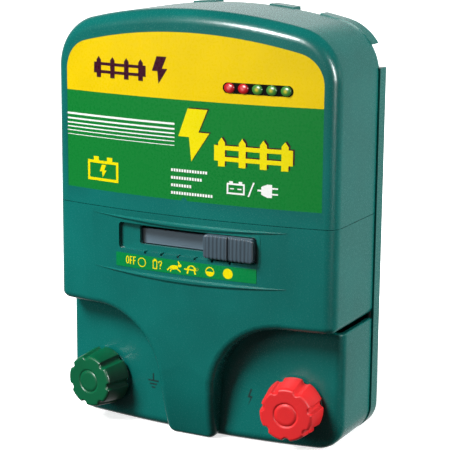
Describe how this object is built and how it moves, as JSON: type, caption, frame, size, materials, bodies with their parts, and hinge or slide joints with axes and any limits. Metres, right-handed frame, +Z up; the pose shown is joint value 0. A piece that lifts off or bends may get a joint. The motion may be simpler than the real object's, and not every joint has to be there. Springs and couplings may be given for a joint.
{
  "type": "fence energizer",
  "caption": "Upright electric fence energizer with an arched bowed case, a sliding selector, indicator lamps and two screw-down knob terminals.",
  "frame": {"origin": "on the table under the middle of the case", "axes": "+Z up, front faces -Y, +X to the right seen from the front"},
  "size_m": [0.168, 0.07, 0.2309],
  "materials": {
    "teal_plastic": "fine-textured satin moulding",
    "seal_rubber": "matt",
    "front_label": "satin printed film",
    "control_label": "satin printed film",
    "rating_plate": "satin film, blank",
    "window_black": "gloss",
    "red_lens": "gloss lens",
    "green_lens": "gloss lens",
    "circuit_board": "solder mask",
    "cable_grey": "satin",
    "switch_black": "satin",
    "slider_grey": "satin",
    "earth_green": "gloss moulding",
    "fence_red": "gloss moulding",
    "brass": "turned",
    "zinc_steel": "zinc plated",
    "core_steel": "varnished laminations",
    "bobbin_plastic": "moulded",
    "copper_wire": "enamelled wire",
    "capacitor_yellow": "epoxy case",
    "capacitor_sleeve": "sleeved can",
    "heat_sink": "extruded",
    "fuse_glass": "clear tube",
    "varistor_blue": "dipped",
    "lead_red": "insulated",
    "lead_green": "insulated",
    "lead_black": "insulated"
  },
  "bodies": {
    "case": {"base_housing": "teal_plastic", "board_connectors": "switch_black", "board_screws": "zinc_steel", "case_gasket": "seal_rubber", "control_label": "control_label", "earth_lead": "lead_green", "earth_nut": "zinc_steel", "earth_plate": "zinc_steel", "earth_seal": "seal_rubber", "earth_stud": "zinc_steel", "fence_lead": "lead_red", "fence_nut": "zinc_steel", "fence_plate": "zinc_steel", "fence_seal": "seal_rubber", "fence_stud": "zinc_steel", "filter_capacitors": "capacitor_sleeve", "front_label": "front_label", "fuse": "fuse_glass", "fuse_holder": "bobbin_plastic", "green_lamps": "green_lens", "heat_sink": "heat_sink", "housing_screws": "zinc_steel", "inlet_nut": "switch_black", "inlet_pins": "brass", "lamp_board": "circuit_board", "lamp_ribbon": "cable_grey", "lamp_window": "window_black", "lower_cover": "teal_plastic", "main_board": "circuit_board", "power_inlet": "switch_black", "pulse_transformer_bobbin": "bobbin_plastic", "pulse_transformer_core": "core_steel", "pulse_transformer_winding": "copper_wire", "rating_plate": "rating_plate", "rear_cover": "teal_plastic", "red_lamps": "red_lens", "selector_board": "circuit_board", "selector_rail": "slider_grey", "selector_screws": "zinc_steel", "selector_switch": "switch_black", "storage_capacitor_1": "capacitor_yellow", "storage_capacitor_2": "capacitor_yellow", "supply_leads": "lead_black", "supply_transformer_bobbin": "bobbin_plastic", "supply_transformer_core": "core_steel", "supply_transformer_winding": "copper_wire", "thyristor": "switch_black", "upper_cover": "teal_plastic", "varistors": "varistor_blue"},
    "selector": {"selector_slider": "slider_grey", "selector_carriage": "switch_black"},
    "earth_washer": {"earth_washer": "zinc_steel"},
    "earth_knob": {"earth_knob": "earth_green", "earth_insert": "brass"},
    "fence_washer": {"fence_washer": "zinc_steel"},
    "fence_knob": {"fence_knob": "fence_red", "fence_insert": "brass"}
  },
  "joints": [
    {"name": "selector_slide", "type": "slide", "parent": "case", "child": "selector", "axis": [1, 0, 0], "range_m": [-0.0505, 0]},
    {"name": "earth_clamp", "type": "slide", "parent": "case", "child": "earth_washer", "axis": [-0.1359, -0.9907, 0], "range_m": [0, 0.005]},
    {"name": "earth_turn", "type": "hinge", "parent": "earth_washer", "child": "earth_knob", "pos_m": [-0.0577, -0.01566, 0.0237], "axis": [-0.1359, -0.9907, 0], "range_deg": [0, 1440]},
    {"name": "fence_clamp", "type": "slide", "parent": "case", "child": "fence_washer", "axis": [0.1359, -0.9907, 0], "range_m": [0, 0.005]},
    {"name": "fence_turn", "type": "hinge", "parent": "fence_washer", "child": "fence_knob", "pos_m": [0.0577, -0.01566, 0.0237], "axis": [0.1359, -0.9907, 0], "range_deg": [0, 1440]}
  ],
  "couplings": [
    {"joint": "earth_clamp", "follows": "earth_turn", "m_per_rad": 0.00019894},
    {"joint": "fence_clamp", "follows": "fence_turn", "m_per_rad": 0.00019894}
  ]
}
